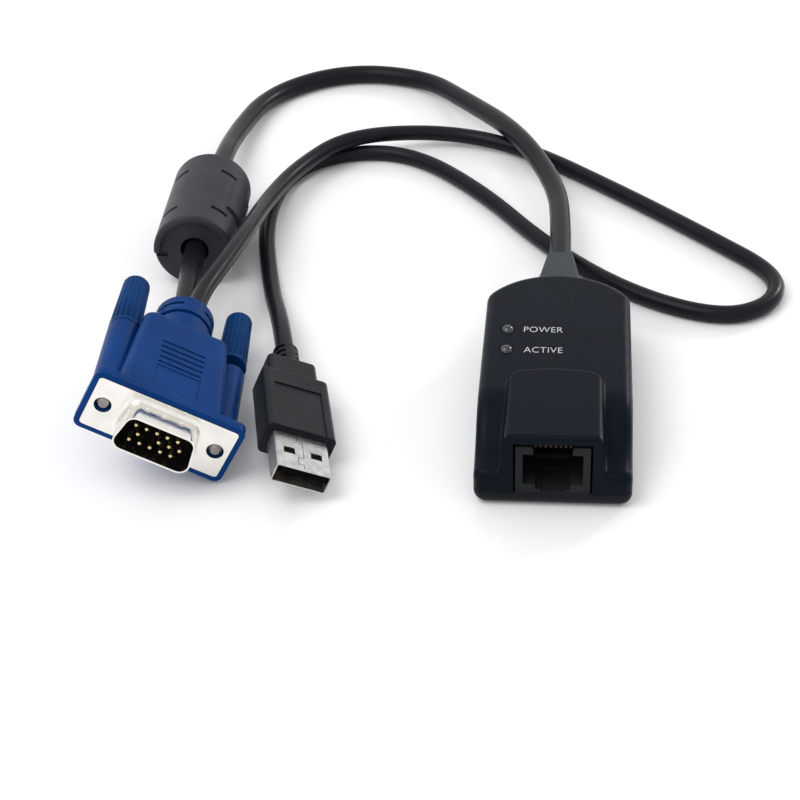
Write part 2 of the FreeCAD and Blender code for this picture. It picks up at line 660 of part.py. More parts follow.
def housing_strain_relief():
    """A soft square frustum held by a flange inside the rear wall."""
    rear = number("case_length / 2")
    wall = number("case_wall")
    inner = rear - wall - number("seat_gap")
    axis = number("relief_axis")
    flange, depth = number("relief_flange"), number("relief_flange_depth")
    tall, neck = number("relief_flange_height"), number("relief_neck")
    ratio = number("relief_height_ratio")
    inner_wall = rear_cylinder(wall + number("seat_gap"))
    block = Part.makeBox(flange, depth + 2, tall, Vec(-flange / 2, inner - depth, axis - tall / 2))
    block = block.common(inner_wall)
    shaft = Part.makeBox(neck, depth + wall, neck, Vec(-neck / 2, inner - depth, axis - neck / 2))
    start, end = rear - 1.5, rear + number("seat_gap") + number("relief_length")
    root, tip = number("relief_root"), number("relief_end")
    boot = Part.makeLoft([square_wire(root, start, axis, ratio),
                          square_wire(tip, end, axis, 1.0)], True)
    edges = [edge for edge in boot.Edges if edge.BoundBox.YLength > 1]
    boot = boot.makeFillet(number("relief_edge"), edges)
    boot = boot.cut(rear_cylinder(-number("seat_gap")))
    shape = block.fuse([shaft, boot]).removeSplitter()
    set_feature("housing_strain_relief", shape)


def rear_cylinder(inset):
    """The upright cylinder whose surface is the housing's bowed rear, set in by inset."""
    half, bow = number("case_width / 2") - inset, number("rear_bow")
    radius = (half ** 2 + bow ** 2) / (2 * bow)
    middle = number("case_length / 2") - inset - radius
    low = -number("deck_height")
    return Part.makeCylinder(radius, number("3 * deck_height"), Vec(0, middle, low))


def square_wire(size, along, axis, ratio):
    half, tall = size / 2, size / 2 * ratio
    corners = [Vec(-half, along, axis - tall), Vec(half, along, axis - tall),
               Vec(half, along, axis + tall), Vec(-half, along, axis + tall)]
    return Part.makePolygon(corners + corners[:1])


# ---------------------------------------------------------------- places of the plugs
def place(origin, yaw, roll):
    turn = FreeCAD.Rotation(Z_DIR, yaw).multiply(FreeCAD.Rotation(Y_DIR, roll))
    return FreeCAD.Placement(Vec(*origin), turn)


VGA_PLACE = place((-80.8, -30.3, 14.7), 4.0, 29.1)
USB_PLACE = place((-51.05, -35.9, 6.9), 12.3, 25.3)
FERRITE_PLACE = place((-90.4, 68.4, 10.05), 2.5, 0.0)


def box(x_from, x_to, y_from, y_to, z_from, z_to):
    return Part.makeBox(x_to - x_from, y_to - y_from, z_to - z_from, Vec(x_from, y_from, z_from))


def slab(half_width, half_height, y_from, y_to, corner=0.0):
    """A block about the local Y axis, its four long edges rounded by corner."""
    block = box(-half_width, half_width, y_from, y_to, -half_height, half_height)
    if corner:
        block = block.makeFillet(corner, [edge for edge in block.Edges if is_along(edge, Y_DIR)])
    return block


def rod(radius, y_from, y_to, across=0.0, up=0.0):
    return Part.makeCylinder(radius, y_to - y_from, Vec(across, y_from, up), Y_DIR)


# ---------------------------------------------------------------- VGA plug
def d_wire(width, height, corner, slant, along):
    """The D outline, wide side down, with rounded corners, at local Y = along."""
    lean = height / 2 * math.tan(math.radians(slant))
    half, up = width / 2, height / 2
    corners = [Vec(-half, along, -up), Vec(half, along, -up),
               Vec(half - 2 * lean, along, up), Vec(-half + 2 * lean, along, up)]
    face = Part.Face(Part.makePolygon(corners + corners[:1]))
    block = face.extrude(Y_DIR * 0.5)
    block = block.makeFillet(corner, [edge for edge in block.Edges if is_along(edge, Y_DIR)])
    for side in block.Faces:
        if side.normalAt(0, 0).dot(Y_DIR) < -0.99:
            return side


def d_block(inset, y_from, y_to):
    face = d_wire(number("shell_width") - 2 * inset, number("shell_height") - 2 * inset,
                  number("shell_corner") - inset, number("shell_slant"), y_from)
    return face.extrude(Y_DIR * (y_to - y_from))


def vga_face_shell():
    """The pressed plate and its D-shaped skirt, with three dimples in the skirt's top."""
    thick, wall = number("plate_thickness"), number("shell_wall")
    depth, radius = number("shell_depth"), number("dimple_radius")
    plate = slab(number("plate_width / 2"), number("plate_height / 2"), 0, thick,
                 number("plate_corner"))
    skirt = d_block(0, -depth, thick)
    shape = plate.fuse(skirt).removeSplitter()
    reach = number("plate_width / 2") - 1
    root = [edge for edge in shape.Edges if near(edge.BoundBox.YMin, 0, 0.01)
            and near(edge.BoundBox.YMax, 0, 0.01) and abs(edge.CenterOfMass.x) < reach
            and abs(edge.CenterOfMass.z) < number("shell_height / 2") + 0.1]
    shape = shape.makeFillet(number("shell_root"), root)
    shape = shape.cut(d_block(wall, -depth - 1, thick + 1))
    top = number("shell_height / 2")
    for index in range(3):
        across = number("dimple_shift") + (index - 1) * number("dimple_pitch")
        height = top + radius - number("dimple_depth")
        shape = shape.cut(Part.makeSphere(radius, Vec(across, -number("dimple_back"), height)))
    for sign in (-1, 1):
        side = sign * number("screw_spacing / 2")
        shape = shape.cut(rod(number("plate_hole"), -1, 1, side))
    set_feature("vga_face_shell", shape, VGA_PLACE)


def pin_places():
    pitch, step = number("pin_pitch"), number("pin_row")
    places = []
    for up, shift, missing in ((step, -0.25, None), (0.0, 0.25, 1), (-step, -0.25, None)):
        for index in range(5):
            if index != missing:
                places.append(((index - 2 + shift) * pitch, up))
    return places


def vga_insulator_and_pins():
    wall, gap = number("shell_wall"), number("seat_gap")
    face, tail = -number("insert_face"), number("pin_tail")
    radius, stand = number("pin_radius"), number("pin_stand")
    shape = d_block(wall + number("insert_gap"), face, 1.0).fuse(
        slab(number("core_width / 2"), number("core_height / 2"), number("plate_thickness") + gap,
             number("insert_depth"), 0.4))
    pins = []
    for across, up in pin_places():
        shape = shape.cut(rod(radius + gap, face - 1, tail + gap, across, up))
        pin = rod(radius, face - stand, tail, across, up)
        front = [edge for edge in pin.Edges if near(edge.BoundBox.YMax, face - stand, 0.05)]
        pins.append(pin.makeChamfer(radius * 0.45, front))
    set_feature("vga_insulator", shape, VGA_PLACE)
    set_feature("vga_pins", Part.makeCompound(pins), VGA_PLACE)
    set_feature("vga_core", slab(number("core_width / 2"), number("core_height / 2"),
                                 number("insert_depth") + gap, number("core_length"), 0.4),
                VGA_PLACE)


def ellipse_wire(half_width, half_height, along):
    curve = Part.Ellipse(Vec(half_width, along, 0), Vec(0, along, half_height), Vec(0, along, 0))
    return Part.Wire([curve.toShape()])


def vga_hood():
    """The blue overmould: flange, hood, screw tubes, neck and the ring round the two cables."""
    gap, lip, thick = number("seat_gap"), number("flange_lip"), number("plate_thickness")
    flange = slab(number("flange_width / 2"), number("flange_height / 2"), lip,
                  lip + number("flange_depth"), number("flange_corner"))
    rim = [edge for edge in flange.Edges if near(edge.BoundBox.YMin, lip + number("flange_depth"))]
    flange = flange.makeFillet(0.7, rim)
    length, edge_size = number("hood_length"), number("hood_edge")
    hood = Part.makeLoft([
        plain_wire(number("hood_front_width / 2"), number("hood_height / 2"), lip + 1.0),
        plain_wire(number("hood_rear_width / 2"), number("hood_rear_height / 2"), length)], True)
    hood = hood.makeFillet(edge_size, [edge for edge in hood.Edges
                                       if edge.BoundBox.YLength > 20])
    rear = [edge for edge in hood.Edges if near(edge.BoundBox.YMin, length, 0.05)]
    hood = hood.makeFillet(1.8, rear)
    spread = number("screw_spacing / 2")
    tubes = [rod(number("tube_radius"), lip + 1.0, number("tube_length"), sign * spread)
             for sign in (-1, 1)]
    ring_front, ring_back = number("ring_front"), number("ring_back")
    neck_end, slot = ring_front - number("ring_groove"), number("ring_slot")
    neck = Part.makeLoft([ellipse_wire(number("neck_root"), number("neck_root_height"), length - 2.5),
                          ellipse_wire(number("ring_radius") - 0.25, number("ring_radius") - 0.26,
                                       neck_end)], True)
    groove = rod(number("neck_radius"), neck_end - 1, ring_front + 1)
    ring = rod(number("ring_radius"), ring_front, ring_back)
    ring = ring.makeFillet(0.5, [edge for edge in ring.Edges
                                 if near(edge.BoundBox.YMin, ring_back, 0.05)])
    shape = flange.fuse([hood] + tubes + [neck, groove, ring]).removeSplitter()
    shape = shape.cut(slab(number("plate_width / 2") + gap, number("plate_height / 2") + gap,
                           lip - 1, thick + gap, number("plate_corner")))
    shape = shape.cut(slab(number("core_width / 2") + gap, number("core_height / 2") + gap,
                           lip, number("core_length") + gap, 0.4))
    for sign in (-1, 1):
        shape = shape.cut(rod(number("tube_bore"), -1, length + 1, sign * spread))
        shape = shape.cut(rod(number("grip_root_radius + grip_scoop"), number("tube_length"),
                              length + 1, sign * spread))
    top = number("hood_height / 2")
    for index in range(int(number("grip_rows"))):
        along = number("grip_start") + index * number("grip_pitch")
        half = number("grip_width / 2")
        shape = shape.cut(box(-half, half, along, along + number("grip_groove"), top - 1.0, top + 1))
    half = number("grip_width / 2")
    shape = shape.cut(box(-half, half, number("panel_front"), number("grip_start") - 1.0,
                          top - number("panel_depth") - 0.05, top + 1))
    for start, end in ((14, 66), (110, 170)):
        shape = shape.cut(sector(number("ring_radius") - 1.0, number("ring_radius") + 1,
                                 start, end, ring_front + 2.2, slot))
    set_feature("vga_hood", shape, VGA_PLACE)


def sector(inner, outer, start, end, along, width):
    """A ring segment about the local Y axis, its angles counted from +X towards +Z."""
    def at(radius, angle):
        turn = math.radians(angle)
        return Vec(radius * math.cos(turn), along, radius * math.sin(turn))
    middle = (start + end) / 2
    edges = [Part.Arc(at(outer, start), at(outer, middle), at(outer, end)).toShape(),
             Part.LineSegment(at(outer, end), at(inner, end)).toShape(),
             Part.Arc(at(inner, end), at(inner, middle), at(inner, start)).toShape(),
             Part.LineSegment(at(inner, start), at(outer, start)).toShape()]
    return Part.Face(Part.Wire(edges)).extrude(Y_DIR * width)


def plain_wire(half_width, half_height, along):
    corners = [Vec(-half_width, along, -half_height), Vec(half_width, along, -half_height),
               Vec(half_width, along, half_height), Vec(-half_width, along, half_height)]
    return Part.makePolygon(corners + corners[:1])


def thumbscrew(side, sign, slack, tip, thread):
    """A ribbed grip and the screw fixed in it, turning in the hood's tube."""
    start = number("tube_length + grip_gap") + slack
    across = sign * number("screw_spacing / 2")
    place_here = VGA_PLACE.multiply(FreeCAD.Placement(Vec(across, start, 0), FreeCAD.Rotation()))
    grip = new_body("thumbscrew_%s_grip" % side, place_here)
    face = new_sketch(grip, "XZ_Plane", "GripRoot")
    draw_circle(face, "0", "0", "grip_root_radius")
    add_pad(grip, face, "grip_length", back=True)
    grip.Tip.setExpression("TaperAngle", bound(
        "-atan((grip_root_radius - grip_tip_radius) / grip_length)"))
    doc.recompute()
    length = number("grip_length")
    add_edges(grip, "Fillet", lambda edge: near(box_of(edge).YMin, length, 0.05), "grip_round")
    flute = new_sketch(grip, "XZ_Plane", "Flute", "-grip_collar")
    draw_circle(flute, "grip_root_radius - 0.12", "0", "grip_flute")
    add_pocket(grip, flute, "grip_length", back=False)
    pattern = grip.newObject("PartDesign::PolarPattern", "Flutes")
    pattern.Originals = [grip.Tip]
    pattern.Axis = (flute, ["N_Axis"])
    pattern.Angle = 360
    pattern.setExpression("Occurrences", bound("grip_ribs"))
    grip.Tip = pattern
    doc.recompute()
    socket = new_sketch(grip, "XZ_Plane", "ScrewSocket")
    draw_circle(socket, "0", "0", "shank_radius + seat_gap")
    add_pocket(grip, socket, "grip_socket + seat_gap")
    screw = rod(number("shank_radius"), tip + thread - 0.5, start + number("grip_socket"), across).fuse(
        rod(number("thread_radius"), tip, tip + thread, across)).removeSplitter()
    nose = [edge for edge in screw.Edges if near(edge.BoundBox.YMax, tip, 0.05)]
    screw = screw.makeChamfer(0.45, nose)
    set_feature("thumbscrew_%s_screw" % side, screw, VGA_PLACE)


# ---------------------------------------------------------------- USB plug
def usb_shell():
    """The plug's metal shell: a hollow rectangle with two pairs of holes, open in front."""
    half_width, half_height = number("usb_width / 2"), number("usb_height / 2")
    wall, end = number("usb_wall"), number("usb_shell_length")
    shape = slab(half_width, half_height, 0, end, 0.55)
    shape = shape.cut(slab(half_width - wall, half_height - wall, -1, end + 1, 0.25))
    hole, back = number("usb_hole"), number("usb_hole_back")
    for sign in (-1, 1):
        side = sign * number("usb_hole_side")
        shape = shape.cut(box(side - hole / 2, side + hole / 2, back - 1.05, back + 1.05,
                              -half_height - 1, half_height + 1))
    set_feature("usb_shell", shape, USB_PLACE)


def usb_inside():
    """The tongue against the shell's upper wall, its four strips, and the block behind."""
    gap, wall = number("seat_gap"), number("usb_wall")
    half_width = number("usb_width / 2") - wall - gap
    half_height = number("usb_height / 2") - wall - gap
    recess, thick = number("tongue_recess"), number("tongue_height")
    end, stand = number("usb_shell_length"), number("usb_stand")
    tongue = box(-half_width, half_width, recess, stand + gap, half_height - thick, half_height)
    tongue = tongue.fuse(box(-half_width, half_width, stand, end, -half_height, half_height))
    tongue = tongue.common(slab(half_width, half_height, recess, end, 0.35))
    strips = []
    strip, high = number("strip_width"), number("strip_height")
    low = half_height - thick
    for across, front in ((-3.5, 1.4), (-1.25, 2.4), (1.25, 2.4), (3.5, 1.4)):
        seat = box(across - strip / 2 - gap, across + strip / 2 + gap, recess + front - gap,
                   stand, low - 1, low + high)
        tongue = tongue.cut(seat)
        strips.append(box(across - strip / 2, across + strip / 2, recess + front,
                          stand - gap, low - 0.05, low + high - gap))
    set_feature("usb_tongue", tongue.removeSplitter(), USB_PLACE)
    set_feature("usb_contacts", Part.makeCompound(strips), USB_PLACE)
    core = slab(number("usb_width / 2 + 0.3"), number("usb_height / 2 + 0.3"), end + gap,
                number("usb_stand + body_length") - 4.0, 0.4)
    set_feature("usb_core", core, USB_PLACE)


def usb_overmould():
    body = new_body("usb_overmould", USB_PLACE)
    block = new_sketch(body, "XZ_Plane", "BodyFront", "-usb_stand")
    draw_rectangle(block, "(-body_width / 2)", "(body_width / 2)", "(-body_height / 2)",
                   "(body_height / 2)")
    add_pad(body, block, "body_length", back=True)
    add_edges(body, "Fillet", lambda edge: is_along(edge, Y_DIR), "body_edge")
    rear = number("usb_stand + body_length")
    add_edges(body, "Fillet", lambda edge: near(box_of(edge).YMin, rear), "body_rear_edge")
    neck = new_sketch(body, "XZ_Plane", "NeckFront", "-usb_stand - body_length + 1.5")
    draw_rectangle(neck, "(-neck_width / 2)", "(neck_width / 2)", "(-neck_height / 2)",
                   "(neck_height / 2)")
    add_pad(body, neck, "neck_length + 1.5", back=True)
    end = number("usb_stand + body_length + neck_length")
    add_edges(body, "Fillet", lambda edge: is_along(edge, Y_DIR)
              and near(box_of(edge).YMax, end), "neck_edge")
    add_edges(body, "Fillet", lambda edge: near(box_of(edge).YMin, end), "neck_rear_edge")
    collar = new_sketch(body, "XZ_Plane", "Collar", "-usb_stand - body_length - neck_length + 1")
    draw_circle(collar, "0", "0", "collar_radius")
    add_pad(body, collar, "collar_length + 1", back=True)
    mouth = new_sketch(body, "XZ_Plane", "CollarMouth",
                       "-usb_stand - body_length - neck_length - collar_length")
    draw_circle(mouth, "0", "0", "usb_diameter / 2 + cable_gap")
    add_pocket(body, mouth, "cable_seat", back=True)
    badge = new_sketch(body, "XY_Plane", "Badge", "body_height / 2")
    draw_rectangle(badge, "(-badge_width / 2)", "(badge_width / 2)", "(usb_stand + 0.2)",
                   "(usb_stand + badge_length)")
    add_pocket(body, badge, "badge_depth")
    bay = new_sketch(body, "XZ_Plane", "ShellBay", "-usb_stand + 1")
    draw_rectangle(bay, "(-usb_width / 2 - seat_gap)", "(usb_width / 2 + seat_gap)",
                   "(-usb_height / 2 - seat_gap)", "(usb_height / 2 + seat_gap)")
    add_pocket(body, bay, "usb_shell_length - usb_stand + 1 + seat_gap", back=False)
    room = new_sketch(body, "XZ_Plane", "CoreRoom", "-usb_shell_length - seat_gap")
    draw_rectangle(room, "(-usb_width / 2 - 0.3 - seat_gap)", "(usb_width / 2 + 0.3 + seat_gap)",
                   "(-usb_height / 2 - 0.3 - seat_gap)", "(usb_height / 2 + 0.3 + seat_gap)")
    add_pocket(body, room, "usb_stand + body_length - 4 - usb_shell_length")
    for index in range(3):
        back = "(usb_stand + body_length + neck_length + %g + %g)" % (1.0, index * 2.0)
        for half in (-1, 1):
            slot = new_sketch(body, "XY_Plane", "CollarSlot")
            draw_rectangle(slot, "(-collar_radius - 1)" if half < 0 else "1.2",
                           "(-1.2)" if half < 0 else "(collar_radius + 1)",
                           back, "(%s + collar_groove)" % back)
            add_pocket(body, slot, "2 * collar_radius + 2", both=True)


# ---------------------------------------------------------------- ferrite
def ferrite():
    gap, radius = number("seat_gap"), number("ferrite_radius")
    over = number("ferrite_overhang")
    wall, bore = number("ferrite_wall"), number("ferrite_bore")
    front, back = -number("ferrite_front"), number("ferrite_length - ferrite_front")
    end = number("ferrite_end")
    upper = rod(radius, front, back)
    upper = upper.makeFillet(number("ferrite_edge"), [
        edge for edge in upper.Edges if edge.Length > 1 and not is_along(edge, Y_DIR)])
    start = front + over
    lower = rod(radius, start, back)
    lower = lower.makeFillet(number("ferrite_edge"), [
        edge for edge in lower.Edges if edge.Length > 1 and not is_along(edge, Y_DIR)])
    room = rod(radius - wall, start + end, back - end)
    hole = rod(bore, front - 1, back + 1)
    mouth = rod(radius - wall, front - 1, start)
    above = box(-radius - 2, radius + 2, front - 1, back + 1, gap / 2, radius + 2)
    below = box(-radius - 2, radius + 2, front - 1, back + 1, -radius - 2, -gap / 2)
    upper = upper.cut(room).cut(hole).cut(mouth).common(above)
    lower = lower.cut(room).cut(hole).common(below)
    middle = (front + back) / 2
    for along in (number("vent_front"), number("vent_back")):
        for sign in (-1, 1):
            upper = upper.cut(vent(along, sign, radius))
    slot = box(-radius + 0.6, -radius + 3.2, start - 1, start + 0.8, -1.6, -0.2)
    lower = lower.cut(slot)
    latch = rod(radius + number("latch_stand"), middle - number("latch_length / 2"),
                middle + number("latch_length / 2")).cut(rod(radius - 0.5, front, back))
    latch = latch.common(box(radius * 0.55, radius + 2, front, back, gap / 2,
                             number("latch_width")))
    upper = upper.fuse(latch).removeSplitter()
    set_feature("ferrite_upper_cover", upper, FERRITE_PLACE)
    set_feature("ferrite_lower_cover", lower.removeSplitter(), FERRITE_PLACE)
    slack = number("seat_gap")
    tube = rod(radius - wall - slack, start + end + slack, back - end - slack).cut(
        rod(number("core_inner"), front, back))
    halves = [tube.common(above), tube.common(below)]
    set_feature("ferrite_core", Part.makeCompound(halves), FERRITE_PLACE)


def vent(along, sign, radius):
    width = number("vent_width")
    middle = 90 - sign * number("(vent_from + vent_to) / 2")
    half = number("(vent_to - vent_from) / 2")
    return sector(radius - 3.0, radius + 1, middle - half, middle + half, along - width / 2, width)


# ---------------------------------------------------------------- cables
MAIN_ROUTE = [
    (0.0, 48.86, 9.5), (0.0, 66.0, 8.9), (-1.5, 92.0, 7.6), (-13.0, 122.5, 8.2),
    (-28.5, 149.5, 4.6), (-42.5, 170.0, 2.75), (-67.5, 174.2, 2.75), (-88.2, 157.8, 2.75),
    (-92.9, 126.0, 5.0), (-91.65, 97.0, 10.05), (-89.5, 47.5, 10.05), (-85.75, 24.3, 13.1),
    (-84.85, 11.34, 13.1)]
USB_ROUTE = [
    (-81.1, 11.58, 17.0), (-81.5, 17.9, 17.0), (-79.0, 32.0, 16.8), (-76.6, 52.0, 14.9),
    (-76.0, 84.0, 7.9), (-71.3, 103.5, 6.6), (-60.0, 121.2, 7.2), (-34.5, 132.5, 3.4), (-11.0, 125.0, 2.15),
    (16.5, 97.5, 2.15), (37.5, 74.7, 2.15), (52.8, 57.1, 2.15), (50.5, 43.1, 2.15),
    (37.9, 36.6, 2.15), (17.5, 46.6, 2.15), (-3.0, 68.5, 2.15), (-21.5, 98.5, 2.15),
    (-41.7, 120.5, 2.15), (-60.7, 121.5, 2.15), (-75.0, 109.0, 2.15), (-77.8, 82.0, 2.15),
    (-70.3, 45.5, 2.15), (-64.1, 23.5, 6.9), (-61.1, 10.05, 6.9)]


def cables():
    main = tangent_path([Vec(*point) for point in MAIN_ROUTE])
    light = tangent_path([Vec(*point) for point in USB_ROUTE])
    set_feature("main_cable", sweep_round(main, number("main_diameter / 2")))
    set_feature("usb_cable", sweep_round(light, number("usb_diameter / 2")))
    print("radii", " ".join("%.1f" % radius for radius in RADII))
    print("lengths", round(main.Length, 1), round(light.Length, 1))


bottom_cover()
top_cover()
circuit_board()
board_parts()
header_wires()
jack_body()
jack_contacts()
lamp("power_lamp", "(lamp_row + lamp_spacing / 2)")
lamp("active_lamp", "(lamp_row - lamp_spacing / 2)")
lamp_leads()
case_screws()
housing_strain_relief()
vga_face_shell()
vga_insulator_and_pins()
vga_hood()
thumbscrew("left", -1, 0.0, number("left_tip"), number("thread_length"))
thumbscrew("right", 1, number("screw_float"), number("right_tip"), number("thread_length"))
usb_shell()
usb_inside()
usb_overmould()
ferrite()
cables()
doc.recompute()
MODELLED = ("PartDesign::Body", "Part::Feature", "Part::Box")
for item in doc.Objects:
    if "Invalid" in item.State or "Error" in item.State:
        raise RuntimeError("%s is in state %s" % (item.Label, item.State))
finished = [item for item in doc.Objects if item.TypeId in MODELLED]
for item in finished:
    if item.Shape.isNull() or not item.Shape.isValid():
        raise RuntimeError("%s has no valid shape" % item.Label)
os.makedirs("parts", exist_ok=True)
for item in finished:
    item.Shape.exportStep("parts/%s.step" % item.Label)
    print(item.Label, len(item.Shape.Solids), round(item.Shape.Volume, 1))
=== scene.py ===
"""KVM dongle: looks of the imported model. Metres, in the model's own frame."""
import math
import bpy
from mathutils import Matrix, Vector


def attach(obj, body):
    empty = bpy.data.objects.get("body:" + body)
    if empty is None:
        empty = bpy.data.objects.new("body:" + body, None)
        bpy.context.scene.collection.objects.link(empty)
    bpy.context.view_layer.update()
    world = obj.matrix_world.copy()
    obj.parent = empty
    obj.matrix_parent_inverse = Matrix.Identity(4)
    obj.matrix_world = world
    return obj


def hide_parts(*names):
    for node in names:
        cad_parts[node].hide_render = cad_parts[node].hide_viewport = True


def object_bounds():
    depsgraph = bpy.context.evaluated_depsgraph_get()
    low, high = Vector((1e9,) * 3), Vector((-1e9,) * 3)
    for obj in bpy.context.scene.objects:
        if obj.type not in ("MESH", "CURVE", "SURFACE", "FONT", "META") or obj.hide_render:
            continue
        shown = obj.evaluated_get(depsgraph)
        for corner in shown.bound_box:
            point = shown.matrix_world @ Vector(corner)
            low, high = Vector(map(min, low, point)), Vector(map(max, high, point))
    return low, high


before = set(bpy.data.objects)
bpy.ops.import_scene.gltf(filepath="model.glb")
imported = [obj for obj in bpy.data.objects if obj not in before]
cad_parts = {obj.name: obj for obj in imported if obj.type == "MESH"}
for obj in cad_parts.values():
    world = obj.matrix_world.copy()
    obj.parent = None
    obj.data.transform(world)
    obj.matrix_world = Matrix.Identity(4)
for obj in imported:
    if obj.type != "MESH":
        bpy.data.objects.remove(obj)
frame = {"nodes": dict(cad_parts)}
nodes, cad_box = frame["nodes"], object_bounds()
scene = bpy.context.scene
scene.view_settings.view_transform = "Standard"


# ---------------------------------------------------------------- camera
def make_camera():
    data = bpy.data.cameras.new("camera")
    data.sensor_width, data.lens = 36.0, 78.3
    data.clip_start, data.clip_end = 0.01, 20.0
    camera = bpy.data.objects.new("camera", data)
    right, up, back = CAMERA_AXES
    turn = Matrix((right, up, back)).transposed().to_4x4()
    camera.matrix_world = Matrix.Translation(Vector(CAMERA_PLACE)) @ turn
    scene.collection.objects.link(camera)
    scene.camera = camera


CAMERA_PLACE = (0.003241, -0.315080, 0.220500)
CAMERA_AXES = ((0.994964, 0.093344, -0.036510), (-0.023045, 0.567545, 0.823020),
               (0.097545, -0.818034, 0.566838))


# ---------------------------------------------------------------- materials
METAL_RELIEF = 0.000004
NOISE_SPAN = (0.3, 0.7)


class Surface:
    """A principled material built node by node."""

    def __init__(self, name, **settings):
        self.material = bpy.data.materials.new(name)
        self.material.use_nodes = True
        self.tree = self.material.node_tree
        self.shader = self.tree.nodes["Principled BSDF"]
        self.where = self.add("ShaderNodeTexCoord").outputs["Object"]
        for key, value in settings.items():
            self.shader.inputs[key.replace("_", " ")].default_value = value

    def add(self, kind):
        return self.tree.nodes.new(kind)

    def link(self, source, target):
        self.tree.links.new(source, target)

    def noise(self, size, detail=3.0, roughness=0.5):
        """Noise with features about size metres across."""
        node = self.add("ShaderNodeTexNoise")
        node.inputs["Scale"].default_value = 1.0 / size
        node.inputs["Detail"].default_value = detail
        node.inputs["Roughness"].default_value = roughness
        self.link(self.where, node.inputs["Vector"])
        return node.outputs["Fac"]

    def colour(self, source, dark, light):
        """Base colour between two colours, across the noise's usual span."""
        node = self.add("ShaderNodeValToRGB")
        for element, position, value in zip(node.color_ramp.elements, NOISE_SPAN, (dark, light)):
            element.position = position
            element.color = (*value, 1.0)
        self.link(source, node.inputs["Fac"])
        self.link(node.outputs["Color"], self.shader.inputs["Base Color"])

    def gloss(self, source, low, high):
        """Roughness between low and high."""
        node = self.add("ShaderNodeMapRange")
        node.inputs["From Min"].default_value, node.inputs["From Max"].default_value = NOISE_SPAN
        node.inputs["To Min"].default_value = low
        node.inputs["To Max"].default_value = high
        self.link(source, node.inputs["Value"])
        self.link(node.outputs["Result"], self.shader.inputs["Roughness"])

    def bump(self, source, height):
        """Adds relief of that height in metres."""
        node = self.add("ShaderNodeBump")
        node.inputs["Distance"].default_value = height
        node.inputs["Strength"].default_value = 1.0
        self.link(source, node.inputs["Height"])
        self.link(node.outputs["Normal"], self.shader.inputs["Normal"])


def grained(name, dark, light, grain, height, low, high, mottle=0.012, sheen=0.5):
    """Moulded plastic: a fine grain in the relief, a soft mottle in colour and gloss."""
    surface = Surface(name, Specular_IOR_Level=sheen)
    surface.colour(surface.noise(mottle, 4.0), dark, light)
    surface.gloss(surface.noise(grain * 6, 3.0), low, high)
    surface.bump(surface.noise(grain, 2.0, 0.6), height)
    return surface


def metal(name, dark, light, low, high, size=0.004):
    """Plated or bare metal: a soft mottle in colour and gloss, and a faint relief."""
    surface = Surface(name, Metallic=1.0)
    surface.colour(surface.noise(size, 4.0), dark, light)
    surface.gloss(surface.noise(size / 3), low, high)
    surface.bump(surface.noise(size / 8, 3.0, 0.6), METAL_RELIEF)
    return surface


CASE = grained("case_plastic", (0.0018, 0.0040, 0.0085), (0.0030, 0.0058, 0.0112),
               0.00034, 0.00006, 0.28, 0.36, sheen=0.06)
BASE = grained("case_base_plastic", (0.0080, 0.0095, 0.0125), (0.0115, 0.0130, 0.0165),
               0.00034, 0.00005, 0.32, 0.40, sheen=0.06)
JACK = grained("jack_plastic", (0.014, 0.015, 0.017), (0.020, 0.021, 0.023),
               0.0005, 0.00002, 0.35, 0.45, sheen=0.06)
RELIEF = grained("relief_rubber", (0.028, 0.033, 0.035), (0.042, 0.048, 0.051),
                 0.0005, 0.00003, 0.42, 0.50, sheen=0.1)
JACKET = grained("cable_jacket", (0.0045, 0.0056, 0.0078), (0.0080, 0.0094, 0.0120),
                 0.0008, 0.00003, 0.28, 0.36, 0.02, sheen=0.12)
HOOD = grained("hood_plastic", (0.0008, 0.0290, 0.135), (0.0020, 0.0410, 0.185),
               0.00050, 0.00010, 0.28, 0.36, sheen=0.05)
GRIP = grained("grip_plastic", (0.0002, 0.0280, 0.115), (0.0005, 0.0400, 0.155),
               0.0006, 0.00002, 0.30, 0.40, sheen=0.04)
USB_BODY = grained("usb_plastic", (0.0060, 0.0074, 0.0098), (0.0110, 0.0128, 0.0156),
                   0.00055, 0.00014, 0.28, 0.36, sheen=0.10)
FERRITE = grained("ferrite_plastic", (0.026, 0.028, 0.033), (0.036, 0.038, 0.045),
                  0.0006, 0.00003, 0.34, 0.44, sheen=0.10)
INSULATOR = grained("insulator_plastic", (0.0010, 0.0010, 0.0014), (0.0018, 0.0018, 0.0024),
                    0.0006, 0.00001, 0.35, 0.45, sheen=0.03)
BOARD = grained("board_laminate", (0.010, 0.085, 0.035), (0.018, 0.13, 0.055),
                0.001, 0.00002, 0.25, 0.35, 0.004)
CHIP = grained("chip_plastic", (0.012, 0.012, 0.013), (0.02, 0.02, 0.021),
               0.0004, 0.00002, 0.45, 0.6)
HEADER = grained("header_plastic", (0.62, 0.58, 0.48), (0.72, 0.68, 0.58),
                 0.001, 0.00002, 0.4, 0.5)
INNER = grained("inner_mould", (0.42, 0.42, 0.4), (0.52, 0.52, 0.5), 0.001, 0.00003, 0.4, 0.5)
WIRE = grained("wire_skin", (0.2, 0.2, 0.22), (0.3, 0.3, 0.32), 0.001, 0.00002, 0.35, 0.45)
CERAMIC = grained("ferrite_ceramic", (0.008, 0.008, 0.008), (0.015, 0.015, 0.015),
                  0.0005, 0.00005, 0.6, 0.8, sheen=0.2)
NICKEL = metal("nickel_plating", (0.78, 0.76, 0.71), (0.88, 0.86, 0.82), 0.12, 0.22)
STEEL = metal("bright_steel", (0.40, 0.39, 0.37), (0.58, 0.57, 0.54), 0.2, 0.32)
GOLD = metal("gold_plating", (0.50, 0.40, 0.22), (0.66, 0.54, 0.32), 0.22, 0.34)
